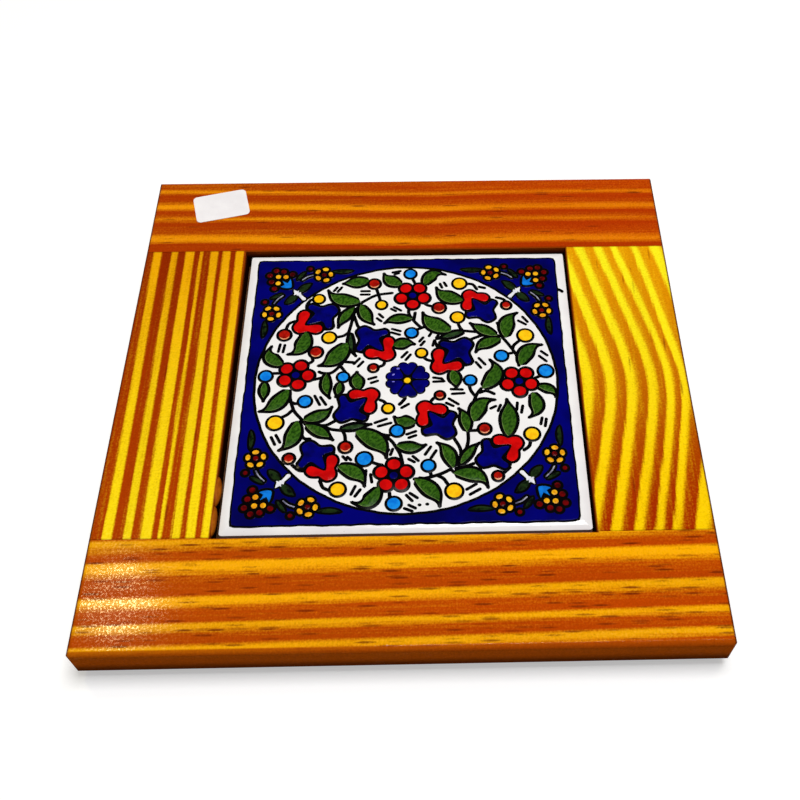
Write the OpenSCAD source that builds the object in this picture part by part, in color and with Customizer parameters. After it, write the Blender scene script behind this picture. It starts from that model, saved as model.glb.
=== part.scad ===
// Square table trivet: a glazed wall tile set in a varnished pine frame.
// Two full-width rails and two short stiles are dowelled together; a board let into
// the underside carries the tile on dabs of adhesive, and four felt feet carry the frame.
// X runs to the right, Y to the rear, Z up. The origin is on the table, under the centre.

/* [Tile] */
// Side of the square tile
tile_side = 100; // [80:1:150]
// Thickness of the tile, keying ribs included
tile_t = 6; // [5:0.5:9]
// Width of the sloping cushion edge round the glazed face
cushion_w = 3; // [1.5:0.25:5]
// Drop of the cushion edge at the tile's rim
cushion_drop = 0.8; // [0.4:0.1:1.5]
// Radius of the tile's upright corners
tile_corner_r = 0.8; // [0.4:0.1:2]
// Distance between the keying ribs on the tile's back
rib_pitch = 10; // [7:0.5:14]
// Width of one keying rib
rib_w = 5; // [3:0.5:6]
// Height of the keying ribs
rib_h = 0.6; // [0.3:0.1:1.2]

/* [Frame] */
// Face width of the front and rear rails
rail_w = 32; // [28:1:45]
// Face width of the left and right stiles
stile_w = 32; // [30:1:45]
// Gap between the tile and the frame, all round
tile_gap = 1.5; // [0.5:0.25:3]
// Share of that gap by which the tile was bedded to the right
tile_shift = 0.35; // [0:0.05:0.6]
// Share of that gap by which it was bedded to the front
tile_forward = 0.2; // [0:0.05:0.6]
// Depth of the tile's face below the top of the frame
tile_recess = 0.5; // [0:0.1:1.5]
// Radius of the eased outer arris on top
top_ease = 1.4; // [0.3:0.1:2.5]
// Radius of the rounded-over outer edge underneath
bottom_round = 2.8; // [1:0.2:4]
// Radius of the frame's four upright corners
corner_r = 1.2; // [0.6:0.2:4]
// Chamfer on the inner arris round the tile
inner_ease = 0.4; // [0.2:0.1:1]

/* [Backing board] */
// Thickness of the hardboard
board_t = 3; // [2:0.5:5]
// Depth of the board below the underside of the frame
board_recess = 1.5; // [0.5:0.25:3]
// Width of the rebate that the board sits in
rebate_w = 6; // [4:0.5:8]
// Corner radius that the rebate cutter leaves
rebate_r = 6; // [3:0.5:10]
// Clearance between the board's edge and the rebate
board_clear = 0.25; // [0.1:0.05:0.5]

/* [Dowels] */
// Diameter of a dowel
dowel_d = 6; // [4:0.5:7]
// Length of a dowel
dowel_l = 30; // [20:1:36]
// Distance between the two dowels of one joint
dowel_pitch = 13; // [9:0.5:14]
// Chamfer at each end of a dowel
dowel_chamfer = 0.8; // [0.4:0.1:1.2]
// Glue flutes round a dowel
flute_count = 8; // [6:1:10]
// Radius of one flute
flute_r = 0.4; // [0.2:0.1:0.6]
// Radial clearance of a dowel in its hole
dowel_clear = 0.05; // [0.03:0.01:0.1]
// Spare depth of a hole past the dowel's end
hole_spare = 0.5; // [0.2:0.1:1.5]

/* [Adhesive] */
// Diameter of a dab
dab_d = 20; // [12:1:26]
// Thickness of a dab under the tile
dab_t = 1; // [0.5:0.25:2]
// Distance of the outer dabs from the tile's edge
dab_inset = 18; // [15:1:24]

/* [Feet] */
// Diameter of a felt foot
foot_d = 14; // [10:1:18]
// Thickness of a felt foot
foot_t = 2; // [1:0.5:4]
// Distance of a foot's centre from the frame's outer edges
foot_inset = 14; // [12:1:16]
// Radius of the worn lower rim of a foot
foot_rim = 0.5; // [0.2:0.1:0.8]

/* [Paper label] */
// Length of the blank label
label_l = 17.5; // [12:0.5:24]
// Height of the blank label
label_h = 12; // [8:0.5:13]
// Thickness of the paper
label_t = 0.15; // [0.1:0.05:0.3]
// Corner radius of the label
label_r = 1.5; // [1:0.25:3]
// Turn of the label on the rail, in degrees
label_turn = 13.5; // [0:0.5:15]
// Distance of the label's middle from the rail's left end
label_from_left = 22; // [16:1:60]
// Distance of the label's middle from the rail's rear edge
label_from_rear = 11.6; // [10:0.2:14]

/* [Hidden] */
$fn = 64;
// Overshoot of a cutting shape past the face that it cuts
over = 1;

// The layers stack from the frame's underside to its top and set its thickness.
frame_t = board_recess + board_t + dab_t + tile_t + tile_recess;
frame_z = foot_t;
frame_top = frame_z + frame_t;
board_z = frame_z + board_recess;
dab_z = board_z + board_t;
tile_z = dab_z + dab_t;

// The tile and its gap set the opening, and the members round it set the outer size.
opening = tile_side + 2 * tile_gap;
frame_w = opening + 2 * stile_w;
frame_d = opening + 2 * rail_w;
rebate_side = opening + 2 * rebate_w;

// Each joint's dowels are spread about the middle of the wood beside the rebate.
dowel_x = opening / 2 + (rebate_w + stile_w) / 2;
dowel_z = frame_z + frame_t / 2;

LEFT = -1;
RIGHT = 1;
FRONT = -1;
REAR = 1;
INNER = -1;
OUTER = 1;

// Profiles and shared cutting shapes

// What a round of radius r takes off a corner at the origin that points to +X and +Y.
module corner_waste(r) {
    translate([-r, -r]) difference() {
        square(r + over);
        circle(r);
    }
}

// A rectangle on the X axis, centred in X, with its lower and upper corners rounded.
module edge_profile(width, height, lower_r, upper_r) {
    difference() {
        translate([-width / 2, 0]) square([width, height]);
        for (side = [0, 1]) mirror([side, 0]) {
            translate([width / 2, height]) corner_waste(upper_r);
            translate([width / 2, 0]) mirror([0, 1]) corner_waste(lower_r);
        }
    }
}

// A centred rectangle with four round corners.
module round_rectangle(length, width, r) {
    difference() {
        square([length, width], center = true);
        for (sx = [0, 1], sy = [0, 1]) mirror([sx, 0]) mirror([0, sy])
            translate([length / 2, width / 2]) corner_waste(r);
    }
}

// Extrudes a profile drawn in width and height along Y, centred.
module along_y(length) {
    translate([0, length / 2, 0]) rotate([90, 0, 0]) linear_extrude(length) children();
}

// Extrudes a profile drawn in width and height along X, centred.
module along_x(length) {
    rotate([0, 0, 90]) along_y(length) children();
}

// Frame members

// The whole frame's outer form, with every outer edge rounded.
module frame_envelope() {
    translate([0, 0, frame_z]) intersection() {
        along_y(frame_d) edge_profile(frame_w, frame_t, bottom_round, top_ease);
        along_x(frame_w) edge_profile(frame_d, frame_t, bottom_round, top_ease);
        linear_extrude(frame_t) round_rectangle(frame_w, frame_d, corner_r);
    }
}

// A section of the opening's chamfered mouth, drawn about the frame's top.
module flared_mouth() {
    mouth = opening / 2 + inner_ease + over;
    polygon([[-opening / 2, -inner_ease], [opening / 2, -inner_ease], [mouth, over], [-mouth, over]]);
}

// The rebate for the board underneath, and the chamfered mouth of the tile's opening.
module tile_well() {
    translate([0, 0, frame_z - over])
        linear_extrude(board_recess + board_t + over)
            round_rectangle(rebate_side, rebate_side, rebate_r);
    translate([0, 0, frame_top]) intersection() {
        along_y(frame_d) flared_mouth();
        along_x(frame_w) flared_mouth();
    }
}

// The hole through a joint for one dowel.
module dowel_hole(side, end, place) {
    hole_l = dowel_l + 2 * hole_spare;
    translate([side * (dowel_x + place * dowel_pitch / 2), end * opening / 2, dowel_z])
        rotate([90, 0, 0]) cylinder(d = dowel_d + 2 * dowel_clear, h = hole_l, center = true);
}

module all_dowel_holes() {
    for (side = [LEFT, RIGHT], end = [FRONT, REAR], place = [INNER, OUTER])
        dowel_hole(side, end, place);
}

// A full-width rail, its inner edge on the opening.
module rail(end) {
    color("#c8781e") difference() {
        intersection() {
            frame_envelope();
            translate([-frame_w / 2 - over, end > 0 ? opening / 2 : -opening / 2 - rail_w - over, 0])
                cube([frame_w + 2 * over, rail_w + over, frame_top + over]);
        }
        tile_well();
        all_dowel_holes();
    }
}

// A short stile between the rails.
module stile(side) {
    color("#e6b428") difference() {
        intersection() {
            frame_envelope();
            translate([side > 0 ? opening / 2 : -opening / 2 - stile_w - over, -opening / 2, 0])
                cube([stile_w + over, opening, frame_top + over]);
        }
        tile_well();
        all_dowel_holes();
    }
}

// A fluted beech dowel with chamfered ends.
module dowel(side, end, place) {
    color("#d9b98a")
        translate([side * (dowel_x + place * dowel_pitch / 2), end * opening / 2, dowel_z])
            rotate([90, 0, 0]) difference() {
                rotate_extrude() polygon([
                    [0, -dowel_l / 2],
                    [dowel_d / 2 - dowel_chamfer, -dowel_l / 2],
                    [dowel_d / 2, -dowel_l / 2 + dowel_chamfer],
                    [dowel_d / 2, dowel_l / 2 - dowel_chamfer],
                    [dowel_d / 2 - dowel_chamfer, dowel_l / 2],
                    [0, dowel_l / 2]
                ]);
                for (turn = [0 : 360 / flute_count : 359]) rotate([0, 0, turn])
                    translate([dowel_d / 2, 0, 0])
                        cylinder(r = flute_r, h = dowel_l + over, center = true, $fn = 24);
            }
}

// Tile and what carries it

// A section of the tile: an upright edge, then a cushion that falls away from the face.
module tile_section() {
    cushion_r = (cushion_w * cushion_w + cushion_drop * cushion_drop) / (2 * cushion_drop);
    shoulder = tile_side / 2 - cushion_w;
    difference() {
        translate([-tile_side / 2, 0]) square([tile_side, tile_t]);
        for (side = [0, 1]) mirror([side, 0])
            translate([shoulder, tile_t - cushion_r]) difference() {
                square([cushion_w + over, cushion_r + over]);
                circle(cushion_r, $fn = 128);
            }
    }
}

// The pressed tile: a cushion-edged face, and keying ribs on the back.
module tile() {
    groove_w = rib_pitch - rib_w;
    groove_count = floor((tile_side - 2 * cushion_w) / rib_pitch);
    color("#f4f2ee") translate([tile_shift * tile_gap, -tile_forward * tile_gap, tile_z]) difference() {
        intersection() {
            along_y(tile_side) tile_section();
            along_x(tile_side) tile_section();
            linear_extrude(tile_t) round_rectangle(tile_side, tile_side, tile_corner_r);
        }
        for (i = [0 : groove_count - 1])
            translate([(i - (groove_count - 1) / 2) * rib_pitch - groove_w / 2, -tile_side / 2 - over, -over])
                cube([groove_w, tile_side + 2 * over, rib_h + over]);
    }
}

// The hardboard let into the underside, its corners rounded to the rebate.
module backing_board() {
    board_side = rebate_side - 2 * board_clear;
    color("#6f4a2c") translate([0, 0, board_z])
        linear_extrude(board_t) round_rectangle(board_side, board_side, rebate_r - board_clear);
}

// A flattened dab of adhesive between the board and the tile; place is [0, 0] or a corner.
module adhesive_dab(place) {
    offset_from_centre = tile_side / 2 - dab_inset;
    color("#d8cfb8") translate([place.x * offset_from_centre, place.y * offset_from_centre, dab_z])
        cylinder(d = dab_d, h = dab_t);
}

// A round felt foot under a corner of the frame.
module foot(side, end) {
    color("#3a322c")
        translate([side * (frame_w / 2 - foot_inset), end * (frame_d / 2 - foot_inset), 0])
            rotate_extrude() difference() {
                square([foot_d / 2, foot_t]);
                translate([foot_d / 2, 0]) mirror([0, 1]) corner_waste(foot_rim);
            }
}

// A blank paper label, stuck askew on the rear rail.
module blank_label() {
    color("#f2f0f4")
        translate([-frame_w / 2 + label_from_left, frame_d / 2 - label_from_rear, frame_top])
            rotate([0, 0, label_turn]) linear_extrude(label_t) round_rectangle(label_l, label_h, label_r);
}

rail(FRONT);  // front_rail
rail(REAR);  // rear_rail
stile(LEFT);  // left_stile
stile(RIGHT);  // right_stile
tile();
backing_board();
dowel(LEFT, FRONT, INNER);  // dowel_front_left_inner
dowel(LEFT, FRONT, OUTER);  // dowel_front_left_outer
dowel(RIGHT, FRONT, INNER);  // dowel_front_right_inner
dowel(RIGHT, FRONT, OUTER);  // dowel_front_right_outer
dowel(LEFT, REAR, INNER);  // dowel_rear_left_inner
dowel(LEFT, REAR, OUTER);  // dowel_rear_left_outer
dowel(RIGHT, REAR, INNER);  // dowel_rear_right_inner
dowel(RIGHT, REAR, OUTER);  // dowel_rear_right_outer
adhesive_dab([0, 0]);  // adhesive_dab_centre
adhesive_dab([LEFT, FRONT]);  // adhesive_dab_front_left
adhesive_dab([RIGHT, FRONT]);  // adhesive_dab_front_right
adhesive_dab([LEFT, REAR]);  // adhesive_dab_rear_left
adhesive_dab([RIGHT, REAR]);  // adhesive_dab_rear_right
foot(LEFT, FRONT);  // foot_front_left
foot(RIGHT, FRONT);  // foot_front_right
foot(LEFT, REAR);  // foot_rear_left
foot(RIGHT, REAR);  // foot_rear_right
blank_label();
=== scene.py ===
import math
import bmesh
import bpy
from mathutils import Color, Matrix, Vector


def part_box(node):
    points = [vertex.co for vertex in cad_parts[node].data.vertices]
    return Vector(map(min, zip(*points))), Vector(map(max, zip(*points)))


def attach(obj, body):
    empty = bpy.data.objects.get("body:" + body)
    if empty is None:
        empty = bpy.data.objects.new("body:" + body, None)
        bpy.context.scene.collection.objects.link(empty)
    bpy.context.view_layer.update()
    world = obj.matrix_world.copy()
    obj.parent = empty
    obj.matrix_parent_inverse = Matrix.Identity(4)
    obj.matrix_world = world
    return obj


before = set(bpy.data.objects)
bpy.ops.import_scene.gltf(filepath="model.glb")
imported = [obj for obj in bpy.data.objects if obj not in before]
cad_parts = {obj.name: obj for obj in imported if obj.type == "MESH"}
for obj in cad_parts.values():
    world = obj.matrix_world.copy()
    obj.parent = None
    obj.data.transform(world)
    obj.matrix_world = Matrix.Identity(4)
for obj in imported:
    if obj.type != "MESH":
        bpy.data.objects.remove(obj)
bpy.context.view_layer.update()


# Frame: two long rails and two short stiles of flat-sawn pine, planed, stained amber and
# brushed with glossy varnish. The rails run through and the stiles butt against them, so
# each member has its own grain direction and its own growth rings.

class Wire:
    """One socket of a finish. Arithmetic on it adds Math nodes to the finish."""

    def __init__(self, tree, socket):
        self.tree = tree
        self.socket = socket

    def node(self, kind, settings, sockets):
        """Adds a node: its settings first, then a value or a link for each socket."""
        made = self.tree.nodes.new(kind)
        for name, value in settings.items():
            if name == "stops":
                ramp = made.color_ramp.elements
                ramp.remove(ramp[1])
                ramp[0].position, ramp[0].color = value[0]
                for place, shade in value[1:]:
                    ramp.new(place).color = shade
            elif name == "points":
                curve = made.mapping.curves[0].points
                curve[0].location = value[0]
                curve[1].location = value[-1]
                for place in value[1:-1]:
                    curve.new(*place)
                made.mapping.update()
            else:
                setattr(made, name, value)
        for name, value in sockets.items():
            if isinstance(value, Wire):
                self.tree.links.new(value.socket, made.inputs[name])
            else:
                made.inputs[name].default_value = value
        return Wire(self.tree, made.outputs[0])

    def out(self, name):
        return Wire(self.tree, self.socket.node.outputs[name])

    def maths(self, operation, *values):
        return self.node("ShaderNodeMath", {"operation": operation}, dict(enumerate(values)))

    def __add__(self, other):
        return self.maths("ADD", self, other)

    def __sub__(self, other):
        return self.maths("SUBTRACT", self, other)

    def __mul__(self, other):
        return self.maths("MULTIPLY", self, other)

    def __radd__(self, other):
        return self.maths("ADD", other, self)

    def __rsub__(self, other):
        return self.maths("SUBTRACT", other, self)

    def __rmul__(self, other):
        return self.maths("MULTIPLY", other, self)

    def __abs__(self):
        return self.maths("ABSOLUTE", self)

    def __gt__(self, other):
        return self.maths("GREATER_THAN", self, other)

    def step(self, start, end):
        """Rises smoothly from 0 at start to 1 at end."""
        ends = {"Value": self, "From Min": start, "From Max": end}
        return self.node("ShaderNodeMapRange", {"interpolation_type": "SMOOTHSTEP"}, ends)

    def mix(self, first, second):
        """A colour between two others, with this wire as the share of the second."""
        sockets = {0: self, 6: first, 7: second}
        return self.node("ShaderNodeMix", {"data_type": "RGBA"}, sockets).out(2)

    def vector(self, operation, other):
        """Vector maths of a colour or a place with a vector, or with a number to scale it."""
        sockets = {0: self, ("Scale" if operation == "SCALE" else 1): other}
        return self.node("ShaderNodeVectorMath", {"operation": operation}, sockets)

    def noise(self, along_x, along_y, along_z, detail=3.0):
        """Cloudy noise on a place, at this many waves per millimetre along x, y and z."""
        stretched = self.vector("MULTIPLY", (along_x, along_y, along_z))
        sockets = {"Vector": stretched, "Scale": 1000.0, "Detail": detail, "Roughness": 0.55}
        return self.node("ShaderNodeTexNoise", {}, sockets)


class Finish:
    """A material on Object coordinates, its even values set on the shader's own sockets."""

    def __init__(self, name, **even):
        self.material = bpy.data.materials.new(name)
        self.material.use_nodes = True
        self.tree = self.material.node_tree
        self.shader = self.tree.nodes["Principled BSDF"]
        for socket, value in even.items():
            self.shader.inputs[socket.replace("_", " ")].default_value = value
        self.place = Wire(self.tree, self.tree.nodes.new("ShaderNodeTexCoord").outputs["Object"])
        axes = self.place.node("ShaderNodeSeparateXYZ", {}, {0: self.place})
        self.x, self.y, self.z = [axes.out(axis) * 1000.0 for axis in "XYZ"]

    def feed(self, socket, wire):
        self.tree.links.new(wire.socket, self.shader.inputs[socket])

    def relief(self, height, depth_mm, strength):
        """Bump from a wire, with its full height in millimetres."""
        sockets = {"Strength": strength, "Distance": depth_mm / 1000, "Height": height}
        self.feed("Normal", height.node("ShaderNodeBump", {}, sockets))

    def lay_on(self, *nodes):
        for node in nodes:
            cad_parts[node].material_slots[0].material = self.material


def colour(red, green, blue):
    """A linear colour from its screen values, 0 to 255."""
    return (*Color((red / 255, green / 255, blue / 255)).from_srgb_to_scene_linear(), 1.0)


def ring_stops(bands, low, high, edge, fade, tail):
    """Ramp stops for pale earlywood bands, each a crisp edge, a soft edge and a strength."""
    stops = []
    for crisp, soft, strength in bands:
        inward = 1 if soft > crisp else -1
        stops += [
            (crisp - edge * inward, 0.0),
            (crisp + edge * inward, strength),
            (crisp + fade * (soft - crisp), strength),
            (soft + 0.3 * inward, tail * strength),
        ]
    return [((at - low) / (high - low), (pale, pale, pale, 1.0)) for at, pale in sorted(stops)]


GRAIN_REACH = 84.0
DRIFT_REACH = 20.0
FRAME_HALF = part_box("front_rail")[1].x * 1000
FRAME_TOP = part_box("front_rail")[1].z * 1000
OPENING_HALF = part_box("left_stile")[1].y * 1000


def pine(node, lengthways, bands, drift, edge, fade, tail, early, late, lean, streaks, outer=()):
    """Stained pine for one member: its colours at its left or front end and at the other end,
    how far its rings drift sideways along it, and how much they lean through its thickness.
    Rings past the outer start drift by more along the outer path."""
    wood = Finish(node + "_pine", Coat_Roughness=0.1, Specular_IOR_Level=0.0)
    along, across = (wood.x, wood.y) if lengthways == "x" else (wood.y, wood.x)

    def waves(with_grain, cross_grain):
        """Waves per millimetre with and across the grain, in the order x, y, z."""
        if lengthways == "x":
            return with_grain, cross_grain, cross_grain
        return cross_grain, with_grain, cross_grain

    fibre = wood.place.noise(*waves(0.04, 1.6), detail=5.0)
    slow = wood.place.noise(*waves(0.005, 0.16), detail=2.0)
    patch = wood.place.noise(*waves(0.03, 0.3), detail=2.0)
    ray = wood.place.noise(*waves(2.0, 0.5), detail=2.0)
    fleck = wood.place.noise(1.8, 1.8, 1.8, detail=2.0)
    grit = wood.place.noise(3.6, 3.6, 3.6, detail=1.0)
    share = (along * (1 / GRAIN_REACH) + 1.0) * 0.5

    def drifted(path):
        """How far to one side the rings lie along the member, in millimetres."""
        points = [((at / GRAIN_REACH + 1) / 2, (by / DRIFT_REACH + 1) / 2) for at, by in path]
        shift = share.node("ShaderNodeFloatCurve", {"points": points}, {"Value": share})
        return (shift * 2.0 - 1.0) * DRIFT_REACH

    # Growth rings: pale earlywood bands by place across the member, bent by its drift and lean.
    depth = FRAME_TOP - wood.z
    ring = across - drifted(drift) + depth * lean
    ring = ring + (slow - 0.5) * 1.2 + (fibre - 0.5) * 0.7
    if outer:
        start, outer_path = outer
        ring = ring - ring.step(start, start + 2.5) * drifted(outer_path)
    low = min(min(band[:2]) for band in bands) - 4.0
    high = max(max(band[:2]) for band in bands) + 4.0
    reach = (ring - low) * (1 / (high - low))
    stops = ring_stops(bands, low, high, edge, fade, tail)
    pale = reach.node("ShaderNodeValToRGB", {"stops": stops}, {"Fac": reach})
    pale = pale * (0.62 + patch * 0.76) + (fibre - 0.5) * 0.7 + (fleck - 0.5) * 0.5
    far = share.step(0.2, 0.9)
    body = pale.step(0.0, 1.0).mix(far.mix(*late), far.mix(*early))
    # Resin canals: short dark dashes along the grain, fewer on the palest wood.
    stretched = wood.place.vector("MULTIPLY", waves(0.13, 1.05))
    cell = stretched.node("ShaderNodeTexVoronoi", {}, {"Vector": stretched, "Scale": 1000.0})
    chosen = cell.node("ShaderNodeSeparateColor", {}, {0: cell.out("Color")})
    canal = cell.step(0.48, 0.16) * (chosen > 1.0 - streaks) * (0.4 + chosen.out("Green") * 0.5)
    canal = canal * (1.0 - pale.step(0.75, 1.1) * 0.8)
    body = canal.mix(body, colour(116, 38, 4))
    # Painted light and shade: the sides and the front arris take a darker brown as painted shade,
    # paler lower down the face as painted light, and the lower face darkens as painted shade. The
    # opening's walls and the outer arrises take painted shade too, with the rails' darker end grain,
    # and the butt joints are dark lines.
    painted_front_edge_shade = wood.y.step(1.6 - FRAME_HALF, 1.0 - FRAME_HALF)
    sides = depth.maths("MAXIMUM", depth.step(0.05, 0.4), painted_front_edge_shade)
    from_middle = wood.x.maths("MAXIMUM", abs(wood.x), abs(wood.y))
    well = from_middle.step(OPENING_HALF + 0.5, OPENING_HALF)
    # Painted shade and light on the sides: darker brown at the arris, paler further down the face.
    side_light_and_shade = depth.step(0.5, 2.0).mix(colour(176, 76, 6), colour(206, 96, 10))
    body = (sides * 0.85).mix(body, side_light_and_shade)
    # Painted shade: the opening's walls take a darker brown.
    body = well.mix(body, colour(150, 62, 6))
    tone = (0.76 + fleck * 0.48) * (0.86 + slow * 0.28) * (0.86 + ray * 0.28)
    # The outer ends darken near the top: darker end grain on the rails, and painted shade on the
    # rounded arrises.
    end_grain_and_arris_shade = abs(wood.x).step(FRAME_HALF - 1.0, FRAME_HALF - 0.3) * depth.step(3.2, 1.2)
    butt_line = abs(wood.y).step(OPENING_HALF - 0.5, OPENING_HALF) if lengthways == "y" else 0.0
    # Painted shade that deepens down the opening's walls.
    well_painted_shade = well * depth.step(0.8, 3.2)
    # Painted shade: the outer faces darken towards the bottom.
    lower_face_painted_shade = depth.step(4.5, 9.0)
    tone = tone * (1.0 - end_grain_and_arris_shade * 0.75) * (1.0 - butt_line * 0.5)
    tone = tone * (1.0 - well_painted_shade * 0.93) * (1.0 - lower_face_painted_shade * 0.72)
    wood.feed("Base Color", body.vector("SCALE", tone))
    wood.feed("Roughness", 0.45 + fibre * 0.18 + canal * 0.2)
    # Varnish: a thin coat that the fibres break up, glossier on the pale bands.
    gloss = (0.1 + fleck.step(0.5, 0.63) * 0.72) * (0.12 + pale * 0.88)
    wood.feed("Coat Weight", gloss * (1.0 - sides * 0.9))
    wood.relief(grit * 0.6 + fibre * 0.4 - canal * 0.3, 0.035, 0.6)
    wood.lay_on(node)


pine(
    "rear_rail", "x",
    bands=[(75.8, 77.8, 0.7), (68.5, 71.5, 0.9), (63.1, 65.3, 0.68), (53.6, 57.3, 0.92)],
    drift=[(-84, 2), (-60, 1.7), (-40, 1.2), (-20, 0.5), (0, -0.1), (8, -0.2), (22, 0.3), (84, 0.3)],
    early=(colour(240, 148, 4), colour(226, 122, 3)), late=(colour(170, 56, 2), colour(178, 54, 2)),
    edge=1.0, fade=0.45, tail=0.3, lean=0.45, streaks=0.12,
)
pine(
    "front_rail", "x",
    bands=[
        (-51.0, -54.8, 0.85), (-57.3, -61.8, 1.0), (-67.2, -70.4, 1.0), (-74.6, -77.2, 0.95),
        (-80.4, -83.3, 0.95),
    ],
    drift=[(-84, -1.2), (-60, -0.9), (-30, -0.5), (0, 0), (30, 0.6), (60, 1.2), (84, 1.6)],
    early=(colour(246, 170, 6), colour(248, 172, 3)), late=(colour(184, 72, 4), colour(188, 68, 2)),
    edge=0.6, fade=0.3, tail=0.14, lean=-0.45, streaks=0.5,
)
pine(
    "left_stile", "y",
    bands=[
        (-78.0, -80.6, 0.9), (-73.1, -75.3, 0.85), (-67.6, -70.7, 1.0), (-64.8, -65.8, 0.8),
        (-60.2, -62.5, 1.0), (-56.0, -58.7, 1.0), (-51.8, -54.3, 1.0),
    ],
    drift=[(-84, 1.2), (-51, 0.8), (-20, 0.6), (0, 0.45), (51, -0.2), (84, -0.6)],
    early=(colour(255, 222, 16), colour(234, 160, 1)), late=(colour(174, 60, 2), colour(142, 38, 1)),
    edge=0.35, fade=0.8, tail=0.1, lean=0.45, streaks=0.02,
)
pine(
    "right_stile", "y",
    bands=[
        (52.1, 55.5, 1.0), (58.8, 62.0, 1.0), (65.0, 68.1, 1.0), (71.2, 74.1, 1.0),
        (76.6, 79.1, 1.0), (82.2, 84.8, 1.0), (88.6, 92.6, 1.0),
    ],
    drift=[(at, 2.2 - math.hypot(2.2, 0.24 * (at + 2))) for at in range(-72, 73, 8)],
    early=(colour(255, 208, 2), colour(255, 244, 30)), late=(colour(166, 44, 1), colour(234, 158, 4)),
    edge=0.6, fade=0.6, tail=0.22, lean=-0.45, streaks=0.05,
    outer=(79.0, [(-84, -0.8), (-51, -0.8), (-8, -1.5), (5, -1.5), (51, 0.8), (84, 0.8)]),
)


# Corner joints: two fluted beech dowels at each corner run from a rail into the end of a
# stile, pressed into glued holes. They are pale, close-grained and hidden once assembled.

beech = Finish("beech_dowel", Specular_IOR_Level=0.3)
beech_grain = beech.place.noise(1.5, 0.12, 1.5)
beech.feed("Base Color", beech_grain.step(0.35, 0.7).mix(colour(214, 178, 132), colour(186, 144, 98)))
beech.feed("Roughness", 0.6 + beech_grain * 0.2)
beech.relief(beech_grain, 0.05, 0.4)
beech.lay_on(*[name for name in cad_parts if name.startswith("dowel_")])


# Backing board: a square of brown hardboard pushed up into the rebate under the tile, smooth
# on top, with the woven-wire print of the press on its underside.

hardboard = Finish("hardboard", Specular_IOR_Level=0.25)
pulp = hardboard.place.noise(0.7, 0.7, 0.7, detail=5.0)
wires = [pulp.maths("SINE", place * 3.2) for place in (hardboard.x, hardboard.y)]
hardboard.feed("Base Color", pulp.step(0.3, 0.75).mix(colour(112, 74, 44), colour(78, 48, 28)))
hardboard.feed("Roughness", 0.65 + pulp * 0.2)
hardboard.relief(pulp * 0.6 + wires[0] * wires[1] * 0.4, 0.15, 0.5)
hardboard.lay_on("backing_board")


# Tile bed: five dabs of soft adhesive between the board and the tile's ribbed back, and the
# amber varnish that ran into the gap by the left stile and set there as two thick drips.

dab_finish = Finish("tile_adhesive", Roughness=0.45)
dab_cloud = dab_finish.place.noise(0.3, 0.3, 0.3)
dab_body = dab_cloud.step(0.3, 0.7).mix(colour(226, 220, 204), colour(204, 196, 176))
dab_finish.feed("Base Color", dab_body)
dab_finish.relief(dab_cloud, 0.2, 0.4)
dab_finish.lay_on(*[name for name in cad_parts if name.startswith("adhesive_dab_")])


def set_piece(name, bm, finishes, crease=50):
    """Makes a piece at the origin from a bmesh in millimetres, and lets it ride on the frame."""
    bmesh.ops.recalc_face_normals(bm, faces=bm.faces)
    bmesh.ops.scale(bm, vec=(0.001, 0.001, 0.001), verts=bm.verts)
    mesh = bpy.data.meshes.new(name)
    bm.to_mesh(mesh)
    bm.free()
    for finish in finishes:
        mesh.materials.append(finish.material)
    mesh.shade_smooth()
    mesh.set_sharp_from_angle(angle=math.radians(crease))
    piece = bpy.data.objects.new(name, mesh)
    bpy.context.scene.collection.objects.link(piece)
    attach(piece, "root")


drip_finish = Finish("varnish_drip", Roughness=0.5, Specular_IOR_Level=0.05)
drip_cloud = drip_finish.place.noise(0.5, 0.25, 0.5)
drip_finish.feed("Base Color", drip_cloud.step(0.3, 0.7).mix(colour(180, 98, 10), colour(138, 64, 5)))
drip_finish.relief(drip_cloud, 0.2, 0.3)
DRIP_X = -OPENING_HALF - 0.1
DRIP_Z = FRAME_TOP - 1.8
DRIP_THICK = 1.5
# Each drip: its place along the stile, its half length and its reach into the gap.
DRIPS = [(-36.4, 4.7, 1.45), (-45.6, 4.6, 1.2)]
drip_mesh = bmesh.new()
for drip_y, drip_half, drip_reach in DRIPS:
    made = bmesh.ops.create_uvsphere(drip_mesh, u_segments=24, v_segments=12, radius=1.0)
    bmesh.ops.scale(drip_mesh, vec=(drip_reach, drip_half, DRIP_THICK), verts=made["verts"])
    bmesh.ops.translate(drip_mesh, vec=(DRIP_X, drip_y, DRIP_Z), verts=made["verts"])
set_piece("varnish_drips", drip_mesh, [drip_finish])


# Tile: a pressed 100 mm ceramic wall tile with a cushioned edge, dipped in white glaze. The
# glaze covers the face and runs part way down the sides, and the ribbed back is bare biscuit.

white_glaze = Finish("white_glaze", Specular_IOR_Level=0.4)
glaze_cloud = white_glaze.place.noise(0.09, 0.09, 0.09)
pinhole = white_glaze.place.noise(1.1, 1.1, 1.1, detail=1.0)
glazed = (white_glaze.z + glaze_cloud * 2.0).step(9.2, 10.0)
glaze_body = glaze_cloud.step(0.3, 0.7).mix(colour(250, 249, 250), colour(241, 239, 242))
glaze_body = (pinhole.step(0.74, 0.8) * 0.25).mix(glaze_body, colour(150, 146, 150))
white_glaze.feed("Base Color", glazed.mix(colour(196, 160, 130), glaze_body))
white_glaze.feed("Roughness", 0.8 - glazed * 0.66)
white_glaze.relief(glaze_cloud, 0.15, 0.3)
white_glaze.lay_on("tile")


# Painted ground: a square of cobalt glaze laid over the face with a round window left white,
# its edges drawn round in black. It is poured from a fine nozzle, so it stands slightly proud.

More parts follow.
